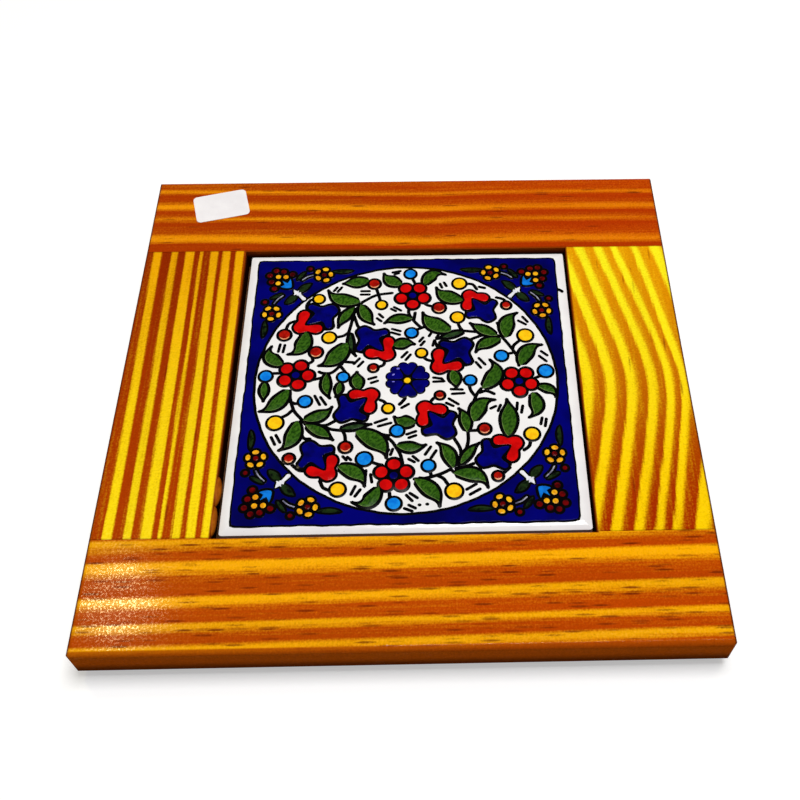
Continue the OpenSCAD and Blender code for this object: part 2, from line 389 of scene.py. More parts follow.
tile_low, tile_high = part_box("tile")
TILE_MIDDLE = Vector(((tile_low.x + tile_high.x) * 500, (tile_low.y + tile_high.y) * 500, 0))
FACE = tile_high.z * 1000
GROUND_LOW = FACE - 0.2
GROUND_MIDDLE = (-0.2, -0.1)
GROUND_HALF_X = 46.95
GROUND_HALF_Y = 47.45
GROUND_LINE = 0.45
WINDOW_MIDDLE = (-0.2, -0.3)
WINDOW_R = 44.8
WINDOW_LINE = 0.8
SQUARENESS = 90


def glaze(name, body, shade, waves=(0.25, 0.25, 0.25)):
    """A coloured glaze that pools darker in places, as a brush leaves it."""
    paint = Finish(name, Specular_IOR_Level=0.06)
    pool = paint.place.noise(*waves, detail=4.0)
    paint.feed("Base Color", pool.step(0.38, 0.66).mix(colour(*body), colour(*shade)))
    paint.feed("Roughness", 0.12 + pool * 0.08)
    paint.relief(pool, 0.05, 0.3)
    return paint


def painted(name, bm, finishes, crease=20, nudge=(0.2, -0.4, 0.0), stretch=(1.0, 0.9935, 1.0)):
    """Sets a piece of the pattern, drawn about the tile's middle, on the tile where it lies."""
    bmesh.ops.scale(bm, vec=stretch, verts=bm.verts)
    bmesh.ops.translate(bm, vec=TILE_MIDDLE + Vector(nudge), verts=bm.verts)
    set_piece(name, bm, finishes, crease)


AS_DRAWN = {"nudge": (0.0, 0.0, 0.0), "stretch": (1.0, 1.0, 1.0)}


outline_black = glaze("outline_black", (2, 2, 3), (5, 4, 6))
cobalt = glaze("cobalt", (1, 1, 114), (0, 0, 78), (0.08, 0.08, 0.08))
LINE, FILL = 0, 1


def window_slab(bm, half_x, half_y, window, high, rim, layer):
    """A square slab of glaze with a round window, drawn out loop by loop to a closed ring."""
    bearing = bm.verts.layers.float.new("bearing")
    rise = [(0, GROUND_LOW), (0, (GROUND_LOW + high) / 2), (rim, high), (2 * rim, high)]
    loops = [(True, *step) for step in rise] + [(False, *step) for step in rise[::-1]]
    verts = bmesh.ops.create_circle(bm, segments=360, radius=1.0)["verts"]
    edges = list({edge for vert in verts for edge in vert.link_edges})
    for vert in verts:
        vert[bearing] = math.atan2(vert.co.y, vert.co.x)
    for index, (square, trim, level) in enumerate([*loops, loops[0]]):
        if index:
            drawn = bmesh.ops.extrude_edge_only(bm, edges=edges)["geom"]
            verts = [item for item in drawn if isinstance(item, bmesh.types.BMVert)]
            edges = [item for item in drawn if isinstance(item, bmesh.types.BMEdge)]
            for face in {face for edge in edges for face in edge.link_faces}:
                face.material_index = layer
        for vert in verts:
            x, y = math.cos(vert[bearing]), math.sin(vert[bearing])
            wobble = 0.08 * math.sin(19 * vert[bearing] + 1) + 0.07 * math.sin(43 * vert[bearing])
            wobble += 0.05 * math.sin(91 * vert[bearing] + 2)
            if square:
                bulk = (abs(x) ** SQUARENESS + abs(y) ** SQUARENESS) ** (-1 / SQUARENESS)
                x = GROUND_MIDDLE[0] + x * bulk * (half_x - trim + wobble)
                y = GROUND_MIDDLE[1] + y * bulk * (half_y - trim + wobble)
                vert.co = (x, y, level)
            else:
                reach = window + trim + 0.6 * wobble
                vert.co = (WINDOW_MIDDLE[0] + x * reach, WINDOW_MIDDLE[1] + y * reach, level)
    bmesh.ops.remove_doubles(bm, verts=bm.verts, dist=0.001)
    bm.verts.layers.float.remove(bm.verts.layers.float["bearing"])


ground_mesh = bmesh.new()
window_slab(
    ground_mesh, GROUND_HALF_X + GROUND_LINE, GROUND_HALF_Y + GROUND_LINE, WINDOW_R - WINDOW_LINE,
    FACE + 0.05, 0.06, LINE,
)
window_slab(ground_mesh, GROUND_HALF_X, GROUND_HALF_Y, WINDOW_R, FACE + 0.09, 0.12, FILL)
painted("cobalt_ground", ground_mesh, [outline_black, cobalt], crease=50, **AS_DRAWN)


# Painted vine: black lines drawn with a fine nozzle on the white window. Curved stems join the
# leaves, buds and berries, and pairs of short dashes fill the space between them.

def smooth_path(points, closed, steps):
    """A smooth line through a few points, with this many steps between them."""
    knots = [Vector(point) for point in points]
    count = len(knots)
    path = []
    for index in range(count if closed else count - 1):
        if closed:
            before, start, end, after = [knots[(index + turn) % count] for turn in (-1, 0, 1, 2)]
        else:
            start, end = knots[index], knots[index + 1]
            before = knots[index - 1] if index else 2 * start - end
            after = knots[index + 2] if index + 2 < count else 2 * end - start
        for step in range(steps):
            t = step / steps
            bend = (end - before) * t + (2 * before - 5 * start + 4 * end - after) * t ** 2
            path.append(start + (bend + (3 * start - before - 3 * end + after) * t ** 3) / 2)
    return path if closed else path + [knots[-1]]


def grow(outline, amount):
    """An outline, drawn anticlockwise, moved outwards by an even amount."""
    grown = []
    for index, point in enumerate(outline):
        run = outline[(index + 1) % len(outline)] - outline[index - 1]
        grown.append(point + amount * Vector((run.y, -run.x)).normalized())
    return grown


def brush_line(points, width, steps=4):
    """The outline of a line of even width with round ends, along a smooth path."""
    path = smooth_path(points, False, steps)
    left, right = [], []
    for index, point in enumerate(path):
        run = (path[min(index + 1, len(path) - 1)] - path[max(index - 1, 0)]).normalized()
        side = Vector((-run.y, run.x)) * width / 2
        left.append(point + side)
        right.append(point - side)
    first = (path[0] - path[1]).normalized() * width / 2
    last = (path[-1] - path[-2]).normalized() * width / 2
    nose = [(right[-1] - path[-1] + last) * 0.71 + path[-1], path[-1] + last]
    nose += [(left[-1] - path[-1] + last) * 0.71 + path[-1]]
    heel = [(left[0] - path[0] + first) * 0.71 + path[0], path[0] + first]
    heel += [(right[0] - path[0] + first) * 0.71 + path[0]]
    return right + nose + left[::-1] + heel


def disc(centre, across, along=None, turn=0.0, segments=24):
    """A round or oval outline: its centre, its half sizes and its turn in degrees."""
    along = across if along is None else along
    spin = Matrix.Rotation(math.radians(turn), 2)
    angles = [math.tau * index / segments for index in range(segments)]
    return [
        Vector(centre) + spin @ Vector((across * math.cos(a), along * math.sin(a))) for a in angles
    ]


PAD_LOW = FACE - 0.05


def pad(bm, outline, high, rim, layer):
    """A pad of glaze on the tile's face with this outline, its top edge rounded over by rim."""
    foot = bm.faces.new([bm.verts.new((point.x, point.y, PAD_LOW)) for point in outline])
    foot.normal_update()
    if foot.normal.z > 0:
        foot.normal_flip()
    raised = bmesh.ops.extrude_face_region(bm, geom=[foot], use_keep_orig=True)["geom"]
    top = [item for item in raised if isinstance(item, bmesh.types.BMFace)][0]
    shoulder = FACE + 0.65 * (high - FACE)
    bmesh.ops.translate(bm, vec=(0, 0, shoulder - PAD_LOW), verts=top.verts)
    top.normal_update()
    slope = bmesh.ops.inset_region(bm, faces=[top], thickness=rim)["faces"]
    bmesh.ops.translate(bm, vec=(0, 0, high - shoulder), verts=top.verts)
    walls = [face for edge in foot.edges for face in edge.link_faces]
    for face in [foot, top, *slope, *walls]:
        face.material_index = layer


STEM_W = 1.08
DASH_W = 0.95
# Each stem is a smooth line through its points, and each dash runs straight between two ends.
STEMS = [
    [(-14.3, 30.5), (-10, 33.3), (-5, 34.2)],
    [(-10, 36.2), (-9.3, 33.8), (-8.6, 31)],
    [(-14.3, 30.3), (-16.3, 27), (-17.3, 22), (-18, 18.5)],
    [(-16.5, 25), (-15.3, 21), (-14.5, 20.5)],
    [(-21.7, 16.7), (-19.5, 17.3), (-18, 18.5)],
    [(-18.2, 14), (-18.5, 9), (-20, 6), (-22.5, 3.3), (-25, 3.2), (-26.2, 3.7)],
    [(-20, 5.8), (-18.8, 4), (-18.3, 3.2)],
    [(-18.5, 7.3), (-16, 7)],
    [(-28.5, 9), (-28.3, 7.8), (-29.5, 6.8)],
    [(-28, 0.8), (-25.3, 1.5)],
    [(-39.7, 3.4), (-37.5, 3.4)],
    [(-34.3, -3), (-34, -6), (-33.3, -8.5), (-32.5, -10.5), (-30.5, -13), (-29, -15)],
    [(-33.8, -7), (-32.5, -7.7), (-31.3, -7.4)],
    [(-33, -9.8), (-34.5, -11.5), (-36, -12.4)],
    [(-30.7, -14), (-30.2, -17.5), (-29.3, -19.7), (-27.5, -20)],
    [(-29, -15), (-25, -15.3), (-22, -16.7), (-18.8, -17.3)],
    [(-20.8, -14), (-23, -15.3), (-26, -15.5)],
    [(-18.3, -17.5), (-17.7, -19), (-17.5, -21)],
    [(-7.5, -18.7), (-5.5, -19.2), (-4.5, -18.7)],
    [(-6, -19.5), (-4.3, -21.3), (-3.3, -23), (-2, -25.5), (-1.3, -28.5)],
    [(-10, -28), (-8, -28.8), (-7, -29)],
    [(-4.8, -38), (-4.7, -39.8)],
    [(2, -33.7), (5, -33.5), (9, -32.3), (12, -30.8)],
    [(6.3, -31.3), (6.7, -32.8)],
    [(8.5, -32.8), (10, -33.7), (11.3, -35.8)],
    [(12, -30.6), (13, -31.8)],
    [(13.5, -30.5), (16, -30), (18.5, -29)],
    [(13.2, -20.5), (14.7, -23.5), (15, -26), (14.3, -29.5)],
    [(17.2, -18.3), (17.2, -21.5), (16.3, -25)],
    [(17.5, -18), (20, -17.9)],
    [(34.8, -21.8), (34.3, -23.5), (32.8, -24.8)],
    [(26.6, -32.3), (28.5, -30.5)],
    [(18, -2), (18.5, -4), (19.6, -5.8)],
    [(21.5, -3.2), (20.3, -5), (19.5, -7), (18.8, -9)],
    [(21, -4.7), (23, -4.1), (25.2, -5.2)],
    [(37.5, 0.3), (39, 1)],
    [(33, 5), (32.8, 8), (31.8, 10.5), (29.8, 14), (28.5, 16)],
    [(29.8, 9.5), (31.3, 9.8)],
    [(33.5, 14.3), (32, 12.8), (31.5, 11.5)],
    [(28, 16.3), (25, 17.3), (20, 18.2), (16, 18.7)],
    [(25.5, 16.7), (22.5, 16.7), (19, 15.2)],
    [(29, 17), (28.2, 19.5), (27.3, 21.5)],
    [(15.3, 21.8), (15.8, 20), (16.8, 18.5)],
    [(0.3, 28), (0.3, 25.5), (2, 22.5), (4, 20.2), (5.3, 20.5)],
    [(2.2, 26), (1.8, 23.3)],
    [(2.7, 19.3), (4.3, 20)],
    [(5, 29.8), (6, 29), (7.5, 28.5)],
    [(1.5, 39.7), (2.3, 37.7)],
    [(18.3, 37.7), (20.3, 37.3), (21.5, 35.3)],
    [(22.3, 36.3), (24, 35.8)],
    [(27.5, 31.8), (29.3, 31.2), (30.3, 30.3)],
    [(-37, 20.5), (-36.3, 22.3), (-34.5, 23.3)],
    [(-30.2, 31.8), (-31.3, 29.8), (-31.2, 27.3)],
    [(-8.7, 5.2), (-7.2, 6), (-6.8, 7.8)],
    [(4.8, 8.5), (5.7, 7.7), (7, 7.2)],
    [(-6.3, -8), (-7, -7.3), (-8, -6.8)],
    [(7.5, -6.5), (6.8, -7.5), (6.3, -8.5)],
    [(-0.7, -6.3), (-1.5, -7.5), (-2.3, -8.5)],
    [(-21, -37), (-23, -36), (-24, -33.8)],
    [(-32, -28.5), (-30, -30.3), (-28, -30.5)],
    [(46.6, 35), (47.6, 34.5), (48.2, 34)],
]
DASHES = [
    (-23.2, 35.3, -22.2, 36.8), (-22, 35, -20.8, 36.8), (-14.6, 35.1, -12.1, 35.1),
    (-14.7, 33.7, -12.1, 33.7), (-4.9, 42.8, -2.5, 43.4), (-4.3, 42, -3, 42.5),
    (-4.3, 28.4, -2.2, 27), (-5.2, 27.7, -3.8, 26.8), (-8.9, 25.7, -7.7, 24.3),
    (-9.5, 24, -8.2, 22.8), (-4.8, 19.7, -2.3, 18.8), (-5, 18.3, -2.5, 17.4),
    (10, 37.8, 10.6, 36.2), (11.3, 38.3, 12, 36.8), (3.5, 14.7, 4.6, 16.2),
    (3.9, 13.2, 5, 14.7), (6.4, 16.7, 7, 17.8), (8.6, 16, 9.2, 17), (7.5, 13, 8, 15),
    (8.7, 12.7, 8.2, 14.7), (-1.8, 8.7, -0.2, 10.7), (-0.6, 7.7, 0.8, 9.7),
    (-16, 6.5, -14.4, 8.5), (-14.7, 5.5, -13.3, 7.3), (-11.5, 0.8, -9.3, 1.5),
    (-10.7, -0.6, -8.8, 0.1), (7.6, 1, 10, 0.6), (10, 0.6, 10.6, -0.4),
    (7.6, -0.5, 10.7, -0.4), (12.7, -3.3, 16, -3.5), (13, -5, 16.5, -4.8),
    (12, -6.7, 14.7, -8.7), (11.2, -8.2, 13.2, -9.3), (-2.4, -8.4, -1, -7),
    (-1.7, -9.7, 0.3, -8.4), (-9.3, -14.8, -6, -13.5), (-8.3, -16, -4.7, -14.9),
    (-0.2, -18.9, 2.4, -17.9), (0.4, -20.1, 2.4, -19.3), (21.2, 8, 23, 5.6),
    (20.3, 6.5, 21.7, 4.4), (40, 10.3, 41.7, 8.7), (39.3, 8.5, 41.3, 6.5),
    (35.2, 23.8, 36.6, 21.8), (33.8, 22.3, 36, 20.8), (24, -10.4, 25.5, -9.6),
    (26.1, -11.3, 26.9, -9.2), (31.8, -8.5, 31.5, -11), (33.3, -9.6, 32.8, -12),
    (38.6, -13.9, 38.1, -16.1), (39.8, -14.3, 39.3, -16.8), (-38.4, 14.3, -38.8, 11.5),
    (-37, 14, -37.4, 11.3), (-27, -5, -25.4, -8.2), (-25.3, -5.5, -23.6, -8.2),
    (-38.5, -19.2, -37.3, -21.7), (-37.2, -18.5, -35.9, -21), (-18, -26, -17, -27.2),
    (-16.7, -26.2, -15.7, -27.2), (-14.2, -35.7, -15.3, -38.3), (-12.8, -36.8, -14.2, -38.9),
    (-11.4, -30.7, -11.6, -34), (-10.1, -32, -9.7, -34.5), (-5.2, -24, -6.2, -25.8),
    (-4.1, -23.8, -4.7, -25.7), (0.4, -27.2, 2, -28.2), (1.6, -26.3, 3.1, -27.8),
    (6.6, -23.2, 5, -25.8), (8.1, -24.5, 6.6, -27), (0.8, -38.2, 2.8, -39.7),
    (-0.2, -38.8, 1.4, -40.6), (0.5, -41.9, 2.3, -42.9), (-0.7, -42.9, 1.4, -43.8),
    (16.3, -37.3, 19, -35.6), (17.2, -38.9, 20, -37.2), (3.3, -41.9, 3.5, -41.9),
    (5.4, -41.7, 5.6, -41.7),
]
# Strokes that cross differ slightly in height, here and in the sections below.
vine_mesh = bmesh.new()
for index, stem in enumerate(STEMS):
    pad(vine_mesh, brush_line(stem, STEM_W), FACE + 0.04 + 0.002 * (index % 9), 0.1, LINE)
for index, (x0, y0, x1, y1) in enumerate(DASHES):
    stroke = brush_line([(x0, y0), (x1, y1)], DASH_W, 1)
    pad(vine_mesh, stroke, FACE + 0.035 + 0.002 * (index % 9), 0.1, LINE)
painted("vine_lines", vine_mesh, [outline_black])


# Painted leaves: each is outlined in black with a bowed spine and a drawn-out tip, then filled
# with green. A pale sliver along one side, under the green set slightly off, is a painted highlight.

leaf_green = Finish("leaf_green", Specular_IOR_Level=0.06)
hatch_place = leaf_green.place.node(
    "ShaderNodeMapping", {}, {"Vector": leaf_green.place, "Rotation": (0.0, 0.0, 0.6)}
)
hatch = hatch_place.noise(1.6, 0.9, 0.8, detail=4.0)
leaf_pool = leaf_green.place.noise(0.12, 0.12, 0.12)
leaf_body = hatch.step(0.4, 0.62).mix(colour(60, 104, 24), colour(28, 64, 8))
leaf_green.feed("Base Color", (leaf_pool.step(0.35, 0.75) * 0.4).mix(leaf_body, colour(26, 62, 12)))
leaf_green.feed("Roughness", 0.16 + hatch * 0.15)
leaf_green.relief(hatch, 0.06, 0.4)
leaf_dark = glaze("leaf_dark", (44, 70, 36), (20, 40, 16), (0.8, 0.8, 0.8))
leaf_painted_glint = glaze("leaf_painted_glint", (134, 160, 92), (88, 126, 52), (0.8, 0.8, 0.8))
LEAF_SPREAD = 0.52
LEAF_MARGIN = 1.06
TAIL_HALF = 0.64
# Each leaf: its base, its tip, the bow of its spine and its width.
LEAVES = [
    (-12.3, 39.3, -20.3, 38.3, 0, 4.3), (-14.8, 31, -24.5, 36, 1.6, 4.8),
    (-16.5, 28.5, -21, 20.5, -0.5, 3.4), (-14.5, 29.5, -10.2, 21.8, -0.6, 3.9),
    (-2, 37.8, -7.2, 42.5, 0.9, 4.3), (5.3, 37, 11.8, 40.8, 2, 4),
    (17, 31, 9.3, 36.5, 1.3, 4.9), (1.2, 23.5, -6.9, 21.7, -0.8, 3.4),
    (13.2, 18.8, 5, 26.3, 1.3, 5.4), (27, 16.6, 19.2, 21.6, 0.3, 3.7),
    (30, 15.7, 34, 25, 1.5, 4.7), (28.2, 15, 20.8, 10, -1.1, 4),
    (33.8, 5, 40.6, 12.2, 1.6, 4.6), (21.6, -3, 23.7, 7.2, -2.3, 4.9),
    (37.8, -3, 42.6, -6.9, 1.2, 3), (36, -5, 34.4, -13.3, 1.7, 4.1),
    (19.3, -15, 25.6, -8, 1.9, 4.8), (16.8, -18.3, 14.5, -10.5, -0.7, 3.5),
    (28.5, -20, 28.6, -7.3, -0.4, 5.2), (-31.3, 19, -36.3, 11, 1.9, 4.9),
    (-36.8, 6.6, -40.2, 13.5, 1.9, 4.3), (-18.5, 14.5, -26.7, 6.4, 1.3, 5.7),
    (-35, -2.5, -42.8, -9.8, 1.3, 4.7), (-42, 0.2, -41.8, -6.5, 0, 2.9),
    (-23.8, 3, -22.3, -5.7, -0.7, 3.2), (-20, -0.3, -21, -5.3, 0.3, 2.6),
    (-14.2, -2.8, -14.8, 3.3, 0.3, 4), (-29.8, -13.3, -22.2, -8.8, -1, 3.9),
    (-31.8, -13.7, -36.4, -23.3, 1.4, 4.6), (-29, -15.3, -21.2, -20.5, 0.3, 3.7),
    (-14.8, -17.8, -6.3, -27, 1.5, 5.6), (-19.4, -29.5, -12.2, -36, 1.4, 4.5),
    (-8, -35.8, -15, -40, 2.1, 4.3), (2, -34, 8.4, -42.6, 1.2, 4.6),
    (-3, -22.5, 5, -22.2, -0.8, 3.6), (12.6, -30.3, 8.1, -22.3, -1, 4),
    (14.7, -29.6, 20.4, -22.5, 0.5, 2.9), (12.8, -32.3, 21.7, -37.2, 1.8, 4.5),
    (-4.6, 13, 1.8, 13.3, 0.6, 3.9), (13, 3.6, 14, -2.8, 0.3, 3.8),
    (2.2, -14.6, -3.4, -12.5, 0.9, 4.2),
]
THIN_LEAVES = [
    (17.2, 18.4, 8.8, 15.6, 0, 2.6), (-17.2, 18.5, -15.3, 9.7, -0.7, 2.2),
    (-19.3, -16.8, -10.5, -15.3, 0, 2.5),
]


def leaf_outline(base, tip, bow, half, trim, steps=18):
    """A leaf round a bowed spine, with a hooked tail at its tip, pulled in by trim all round."""
    run = (tip - base).normalized()
    base, tip = base - 0.5 * run, tip + 0.7 * run
    bend = base.lerp(tip, 0.7) + 2.8 * bow * Vector((-run.y, run.x))
    left, right, spine = [], [], []
    for step in range(1, steps):
        t = step / steps
        place = (1 - t) ** 2 * base + 2 * t * (1 - t) * bend + t ** 2 * tip
        ahead = ((1 - t) * (bend - base) + t * (tip - bend)).normalized()
        swell = math.sin(math.pi * t ** 0.66) ** (0.7 + 1.3 * t)
        reach = half * swell + TAIL_HALF * t ** 4 - trim
        if reach > 0.08:
            side = reach * Vector((-ahead.y, ahead.x))
            left.append(place + side)
            right.append(place - side)
            spine.append(place)
    heel = spine[0] + 0.6 * (spine[0] - spine[1])
    return [heel, *right, spine[-1] + 0.9 * (spine[-1] - spine[-2]), *left[::-1]]


leaf_mesh = bmesh.new()
GREEN, DARK_GREEN, LEAF_GLINT = 1, 2, 3
for index, (base_x, base_y, tip_x, tip_y, bow, width) in enumerate(LEAVES + THIN_LEAVES):
    base, tip = Vector((base_x, base_y)), Vector((tip_x, tip_y))
    lift = FACE + 0.003 * (index % 5)
    edge = leaf_outline(base, tip, bow, width / 2 + LEAF_SPREAD, 0.0)
    fill = leaf_outline(base, tip, bow, width / 2 + LEAF_SPREAD, LEAF_MARGIN)
    pad(leaf_mesh, edge, lift + 0.07, 0.1, LINE)
    if index < len(LEAVES):
        # The pale pad under the green shows as a sliver along one side: a painted highlight.
        pad(leaf_mesh, fill, lift + 0.1, 0.06, LEAF_GLINT)
        nudged = [point + Vector((0.07, 0.06)) for point in fill]
        pad(leaf_mesh, nudged, lift + 0.13, 0.14, GREEN)
    else:
        pad(leaf_mesh, fill, lift + 0.1, 0.1, DARK_GREEN)
painted("leaves", leaf_mesh, [outline_black, leaf_green, leaf_dark, leaf_painted_glint])


# Painted tulips: eight side-on blossoms, four round the middle and four by the border. Each
# has a blue three-pronged cup and a red lip of three lobes, all outlined in black.

tulip_red = glaze("poppy_red", (216, 10, 10), (188, 4, 6), (0.35, 0.35, 0.35))
cup_blue = glaze("cup_blue", (2, 2, 118), (1, 1, 76), (0.22, 0.22, 0.22))
TULIP_LENGTH = 14.0
TULIP_LINE = 0.8
RED = 2
# Half outlines along the stalk and to one side of it, then each tulip's heel and elbow.
HALF_LIP = [(8.3, 0), (7.9, 1.3), (6.8, 2.0), (5.5, 2.4), (4.8, 3.5), (3.8, 4.5), (2.4, 4.7)]
HALF_LIP += [(1.5, 3.9), (1.4, 2.8), (2.3, 1.9), (3.7, 1.1), (4.6, 0.5)]
HALF_CUP = [(-6.2, 0), (-5.8, 1.4), (-4.5, 2.0), (-2.9, 2.5), (-1.8, 4.0), (-1.1, 5.2), (-0.2, 5.4)]
HALF_CUP += [(0.4, 4.8), (0.3, 3.9), (0.0, 2.9), (0.1, 1.9), (1.0, 1.35), (2.4, 0.95), (3.6, 0.5)]
HALF_SHADE = [(-7.1, 0), (-6.6, 1.9), (-4.9, 2.8), (-3.4, 3.2), (-2.5, 4.6), (-1.8, 5.9), (-0.3, 6.3)]
HALF_SHADE += [(1.0, 5.6), (2.0, 4.8), (3.6, 4.0), (5.0, 2.0)]
TULIPS = [
    (-21.5, 29, -33.2, 20.3), (26, 22, 18.8, 33.3), (19.3, -29.5, 31, -22), (-29, -20.7, -21.5, -32.3),
    (-15, 20.5, -5.8, 9.3), (19, 15.3, 8.9, 4.3), (13, -20.5, 4.6, -9.3), (-20.7, -13.9, -10.1, -4.5),
]


def both_sides(half, tip_at_end):
    """A closed smooth outline from one half and its mirror image across the stalk."""
    end = [(half[-1][0] + tip_at_end, 0.0)]
    mirrored = [(u, -v) for u, v in half[:0:-1]]
    return smooth_path(half + end + mirrored, True, 3)


LIP, CUP, SHADE = both_sides(HALF_LIP, 0.3), both_sides(HALF_CUP, 0.5), both_sides(HALF_SHADE, 0.6)
tulip_mesh = bmesh.new()
for index, (heel_x, heel_y, elbow_x, elbow_y) in enumerate(TULIPS):
    heel, elbow = Vector((heel_x, heel_y)), Vector((elbow_x, elbow_y))
    run = elbow - heel
    size = run.length / TULIP_LENGTH
    turn = Matrix.Rotation(math.atan2(run.y, run.x), 2)

    def placed(outline):
        return [(heel + elbow) / 2 + size * (turn @ point) for point in outline]

    lift = FACE + 0.004 * (index % 3)
    pad(tulip_mesh, placed(SHADE), lift + 0.10, 0.1, LINE)
    pad(tulip_mesh, placed(grow(LIP, TULIP_LINE)), lift + 0.112, 0.1, LINE)
    pad(tulip_mesh, placed(CUP), lift + 0.17, 0.14, FILL)
    pad(tulip_mesh, placed(LIP), lift + 0.185, 0.18, RED)
painted("tulips", tulip_mesh, [outline_black, cup_blue, tulip_red])


# Painted rosettes: four red flowers of five round petals stand on the axes of the window, and
# a larger blue one of six notched petals with a yellow eye is in the middle. The petals are domed.

def scalloped(centre, petals, first, distance, radius):
    """The outline round a ring of overlapping circles."""
    outline = []
    for index in range(24 * petals):
        a = math.tau * index / (24 * petals)
        part = math.tau / petals
        off = (a - math.radians(first) + part / 2) % part - part / 2
        reach = distance * math.cos(off) + math.sqrt(radius ** 2 - (distance * math.sin(off)) ** 2)
        outline.append(Vector(centre) + reach * Vector((math.cos(a), math.sin(a))))
    return outline


def ring_places(centre, petals, first, distance):
    """Centres and directions of petals spaced evenly round a centre."""
    turns = [first + 360 * index / petals for index in range(petals)]
    return [
        (Vector(centre) + distance * Vector((math.cos(math.radians(a)), math.sin(math.radians(a)))), a)
        for a in turns
    ]


bud_yellow = glaze("bud_yellow", (255, 208, 22), (250, 182, 12), (0.5, 0.5, 0.5))
violet_painted_glint = glaze("violet_painted_glint", (150, 145, 235), (110, 105, 215))
PETAL_RING = 3.6
# Each red rosette: its centre, and the direction of its first petal in degrees.
ROSETTES = [((1.4, 33), -90), ((32.8, -0.8), -90), ((-3.7, -32.5), 90), ((-33.0, 2.6), -4)]
rosette_mesh = bmesh.new()
EYE, GLINT = 3, 4
for centre, first in ROSETTES:
    pad(rosette_mesh, scalloped(centre, 5, first, PETAL_RING, 2.6), FACE + 0.12, 0.1, LINE)
    for petal, angle in ring_places(centre, 5, first, PETAL_RING):
        pad(rosette_mesh, disc(petal, 1.62, 1.75, angle), FACE + 0.22, 0.7, RED)
    pad(rosette_mesh, disc(centre, 1.1), FACE + 0.19, 0.4, FILL)
middle = (0.0, 0.3)
pad(rosette_mesh, scalloped(middle, 12, 15, 5.1, 1.65), FACE + 0.12, 0.1, LINE)
HALF_PETAL = [(1.7, 0), (2.1, 0.8), (3.5, 1.68), (4.9, 2.5), (5.8, 2.2), (6.1, 1.2), (5.8, 0.3)]
for petal, angle in ring_places(middle, 6, 30, 0.0):
    turn = Matrix.Rotation(math.radians(angle), 2)
    outline = [petal + turn @ point for point in both_sides(HALF_PETAL, -0.15)]
    pad(rosette_mesh, outline[::-1], FACE + 0.19, 0.3, FILL)
pad(rosette_mesh, disc((-0.1, 0), 1.6), FACE + 0.195, 0.1, LINE)
pad(rosette_mesh, disc((-0.1, 0), 1.2), FACE + 0.24, 0.5, EYE)
# Three pale violet spots on the blue petals are painted glints, reflections drawn as glaze.
GLINTS = [((-2.9, 4.4), 0.55, 0.4, 20), ((-4.2, 2.2), 0.55, 0.35, 40), ((-4.2, -0.4), 0.5, 0.3, 0)]
for glint, half_wide, half_tall, angle in GLINTS:
    pad(rosette_mesh, disc(glint, half_wide, half_tall, angle), FACE + 0.205, 0.1, GLINT)
rosette_finishes = [outline_black, cup_blue, tulip_red, bud_yellow, violet_painted_glint]
painted("rosettes", rosette_mesh, rosette_finishes, crease=30)


# Painted berries: round drops of sky blue, yellow and brick red glaze in thick black rings.
# The brick ones show a pale crescent along their lower edge.

sky_blue = glaze("sky_blue", (24, 146, 240), (8, 116, 222), (0.5, 0.5, 0.5))
brick = glaze("brick_red", (184, 22, 8), (130, 10, 4), (0.5, 0.5, 0.5))
brick_pale = glaze("brick_pale", (248, 186, 138), (236, 134, 88), (0.8, 0.8, 0.8))
BERRY_RING = 0.75
# Each berry: its centre and its radius.
SKY_BERRIES = [
    (0.7, 42, 1.6), (1.1, 18, 1.6), (28, 8.7, 1.7), (40.8, 2.8, 2.0), (18.4, -0.2, 1.5),
    (-41.8, 2.3, 1.7), (-19, 1.6, 1.5), (-29.7, -7, 1.7), (-2.9, -17.7, 1.7), (-12, -27, 2.0),
    (5.9, -29.5, 1.6), (-3.6, -41.4, 1.8),
]
YELLOW_BERRIES = [
    (-27.7, 32, 1.5), (-8.2, 29.3, 1.4), (16.1, 37.7, 1.9), (15.2, 23.9, 1.8), (35.6, 16.4, 2.1),
    (-23.8, 16.6, 1.8), (4.1, 10.2, 1.4), (-5.6, -9.9, 1.4), (-37.8, -14.4, 2.1), (-19, -36.7, 1.9),
    (12.9, -37.8, 2.1), (35.4, -19.5, 1.9),
]
BRICK_BERRIES = [
    (-10.6, 38, 1.7), (-37.4, 17.8, 1.8), (-27.5, 11, 1.8), (-10.2, 4.8, 1.2), (9.6, 27.8, 1.8),
    (30.4, 28.5, 1.3), (9.4, -5.5, 1.2), (22, -17.5, 1.6), (-17.4, -23, 1.6), (-33, -26.5, 1.4),
    (25.1, -33.2, 1.3),
]
berry_mesh = bmesh.new()
SKY, SUN, BRICK, BRICK_EDGE = 1, 2, 3, 4
for berries, layer in ((SKY_BERRIES, SKY), (YELLOW_BERRIES, SUN), (BRICK_BERRIES, BRICK)):
    for x, y, radius in berries:
        pad(berry_mesh, disc((x, y), radius + BERRY_RING), FACE + 0.13, 0.15, LINE)
        if layer == BRICK:
            pad(berry_mesh, disc((x, y - 0.12), radius - 0.2), FACE + 0.2, 0.2, BRICK_EDGE)
            pad(berry_mesh, disc((x - 0.02, y + 0.08), radius - 0.17), FACE + 0.26, 0.4, BRICK)
        else:
            pad(berry_mesh, disc((x, y), radius - 0.05), FACE + 0.25, 0.55 * radius, layer)
berry_finishes = [outline_black, sky_blue, bud_yellow, brick, brick_pale]
painted("berries", berry_mesh, berry_finishes, crease=30)


# Painted corner sprays: the same posy in each cobalt corner, mirrored. Two yellow flowers, a
# bunch of dark berries, a small pale-blue tulip, a white stalk and dull leaves, on black.

